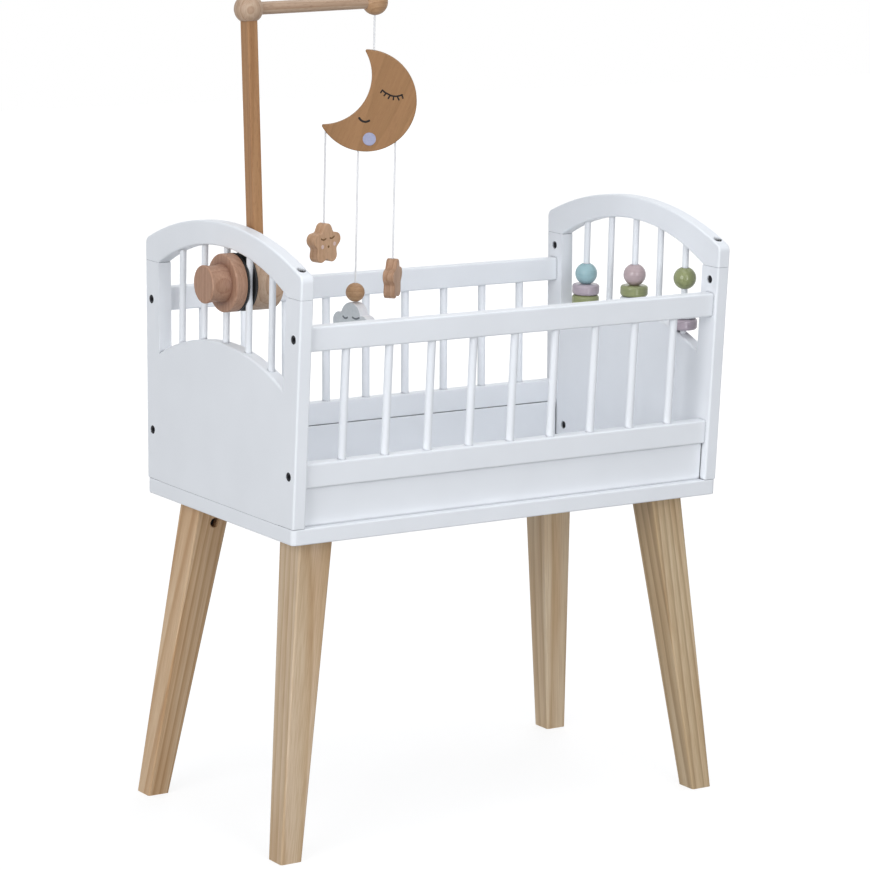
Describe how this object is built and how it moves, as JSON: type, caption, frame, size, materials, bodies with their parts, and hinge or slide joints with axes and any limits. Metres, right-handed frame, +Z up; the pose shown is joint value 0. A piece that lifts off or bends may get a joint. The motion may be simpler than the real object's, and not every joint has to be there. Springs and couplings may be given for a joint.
{
  "type": "wooden doll bed",
  "caption": "Wooden doll's bed on splayed legs with arched spindle ends, slatted sides, sliding beads and a clamp-on mobile of a moon, stars and a cloud.",
  "frame": {"origin": "on the floor, under the middle of the bed's outer box", "axes": "+X along the bed from the head end with the mobile to the foot end with the beads, +Z up, the front side is -Y"},
  "size_m": [0.5394, 0.29, 0.8111],
  "materials": {
    "white_lacquer": "white satin lacquer",
    "pine": "clear matt varnish on pine",
    "beech": "oiled beech",
    "brown_wood": "stained and oiled",
    "grey_paint": "matt grey paint, pale edges",
    "turquoise_paint": "satin paint",
    "pink_paint": "satin paint",
    "green_paint": "satin paint",
    "lilac_paint": "satin paint",
    "black_steel": "black oxide",
    "zinc": "zinc plated",
    "brass": "plain",
    "rubber": "matt",
    "string": "cotton cord"
  },
  "bodies": {
    "bed": {"deck": "white_lacquer", "head_front_post": "white_lacquer", "head_back_post": "white_lacquer", "foot_front_post": "white_lacquer", "foot_back_post": "white_lacquer", "head_arch": "white_lacquer", "foot_arch": "white_lacquer", "head_board": "white_lacquer", "foot_board": "white_lacquer", "head_spindles": "white_lacquer", "foot_spindles": "white_lacquer", "front_top_rail": "white_lacquer", "back_top_rail": "white_lacquer", "front_lower_bar": "white_lacquer", "back_lower_bar": "white_lacquer", "front_plank": "white_lacquer", "back_plank": "white_lacquer", "front_side_dowels": "white_lacquer", "back_side_dowels": "white_lacquer", "leg_front_head": "pine", "leg_front_foot": "pine", "leg_back_head": "pine", "leg_back_foot": "pine", "joint_pins": "beech", "barrel_nuts": "black_steel", "arch_bolts": "black_steel", "side_bolts": "black_steel", "deck_bolts": "black_steel", "leg_bolts": "black_steel"},
    "mast": {"inner_pad": "rubber", "clamp_block": "beech", "clamp_bolt": "zinc", "mast_post": "beech", "swivel_peg": "beech"},
    "outer_pad": {"outer_pad": "rubber"},
    "knob": {"clamp_knob": "beech", "knob_insert": "brass"},
    "arm": {"mast_ball": "beech", "arm_rod": "beech", "arm_end_ball": "beech"},
    "moon_string": {"moon_string": "string"},
    "moon": {"moon": "brown_wood"},
    "left_string": {"left_string": "string"},
    "left_star": {"left_star": "beech"},
    "middle_string": {"middle_string": "string", "string_ball": "beech"},
    "cloud": {"cloud": "grey_paint"},
    "right_string": {"right_string": "string"},
    "right_star": {"right_star": "beech"},
    "back_ring_lower": {"back_ring_lower": "green_paint"},
    "back_ring_upper": {"back_ring_upper": "lilac_paint"},
    "back_ball": {"back_ball": "turquoise_paint"},
    "middle_ring_lower": {"middle_ring_lower": "white_lacquer"},
    "middle_ring_upper": {"middle_ring_upper": "green_paint"},
    "middle_ball": {"middle_ball": "pink_paint"},
    "front_ring_lower": {"front_ring_lower": "lilac_paint"},
    "front_ring_upper": {"front_ring_upper": "white_lacquer"},
    "front_ball": {"front_ball": "green_paint"}
  },
  "joints": [
    {"name": "mast_tilt", "type": "hinge", "parent": "bed", "child": "mast", "pos_m": [-0.23467, -0.02073, 0.53897], "axis": [1, 0, 0], "range_deg": [-15, 15]},
    {"name": "pad_slide", "type": "slide", "parent": "mast", "child": "outer_pad", "axis": [-1, 0, 0], "range_m": [0, 0.005]},
    {"name": "knob_turn", "type": "hinge", "parent": "outer_pad", "child": "knob", "pos_m": [-0.23467, -0.02073, 0.53897], "axis": [-1, 0, 0], "range_deg": [0, 1440]},
    {"name": "arm_swivel", "type": "hinge", "parent": "mast", "child": "arm", "pos_m": [-0.22404, -0.02073, 0.79496], "axis": [-0.0489, 0, 0.9988], "range_deg": [-15, 15]},
    {"name": "moon_swing", "type": "hinge", "parent": "arm", "child": "moon_string", "pos_m": [-0.08404, -0.02073, 0.78613], "axis": [0, 1, 0], "range_deg": [-6, 6]},
    {"name": "moon_turn", "type": "hinge", "parent": "moon_string", "child": "moon", "pos_m": [-0.08404, -0.02073, 0.75283], "axis": [0, 0, 1], "continuous": true},
    {"name": "left_swing", "type": "hinge", "parent": "moon", "child": "left_string", "pos_m": [-0.12161, 0.00366, 0.67424], "axis": [0.8387, -0.5446, 0], "range_deg": [-6, 6]},
    {"name": "left_star_turn", "type": "hinge", "parent": "left_string", "child": "left_star", "pos_m": [-0.12161, 0.00366, 0.58574], "axis": [0, 0, 1], "continuous": true},
    {"name": "middle_swing", "type": "hinge", "parent": "moon", "child": "middle_string", "pos_m": [-0.0952, -0.01349, 0.65634], "axis": [0.8387, -0.5446, 0], "range_deg": [-6, 6]},
    {"name": "cloud_turn", "type": "hinge", "parent": "middle_string", "child": "cloud", "pos_m": [-0.0952, -0.01349, 0.50934], "axis": [0, 0, 1], "continuous": true},
    {"name": "right_swing", "type": "hinge", "parent": "moon", "child": "right_string", "pos_m": [-0.06534, -0.03288, 0.66547], "axis": [0.8387, -0.5446, 0], "range_deg": [-6, 6]},
    {"name": "right_star_turn", "type": "hinge", "parent": "right_string", "child": "right_star", "pos_m": [-0.06534, -0.03288, 0.55267], "axis": [0, 0, 1], "continuous": true},
    {"name": "back_ring_lower_slide", "type": "slide", "parent": "bed", "child": "back_ring_lower", "axis": [0, 0, 1], "range_m": [0, 0.0103]},
    {"name": "back_ring_upper_slide", "type": "slide", "parent": "back_ring_lower", "child": "back_ring_upper", "axis": [0, 0, 1], "range_m": [0, 0.0103]},
    {"name": "back_ball_slide", "type": "slide", "parent": "back_ring_upper", "child": "back_ball", "axis": [0, 0, 1], "range_m": [0, 0.0205]},
    {"name": "middle_ring_lower_slide", "type": "slide", "parent": "bed", "child": "middle_ring_lower", "axis": [0, 0, 1], "range_m": [0, 0.0116]},
    {"name": "middle_ring_upper_slide", "type": "slide", "parent": "middle_ring_lower", "child": "middle_ring_upper", "axis": [0, 0, 1], "range_m": [0, 0.0116]},
    {"name": "middle_ball_slide", "type": "slide", "parent": "middle_ring_upper", "child": "middle_ball", "axis": [0, 0, 1], "range_m": [0, 0.0231]},
    {"name": "front_ring_lower_slide", "type": "slide", "parent": "bed", "child": "front_ring_lower", "axis": [0, 0, 1], "range_m": [0, 0.0058]},
    {"name": "front_ring_upper_slide", "type": "slide", "parent": "front_ring_lower", "child": "front_ring_upper", "axis": [0, 0, 1], "range_m": [0, 0.0058]},
    {"name": "front_ball_slide", "type": "slide", "parent": "front_ring_upper", "child": "front_ball", "axis": [0, 0, 1], "range_m": [-0.0182, 0.0114]}
  ],
  "couplings": [
    {"joint": "pad_slide", "follows": "knob_turn", "m_per_rad": 0.00019894}
  ]
}
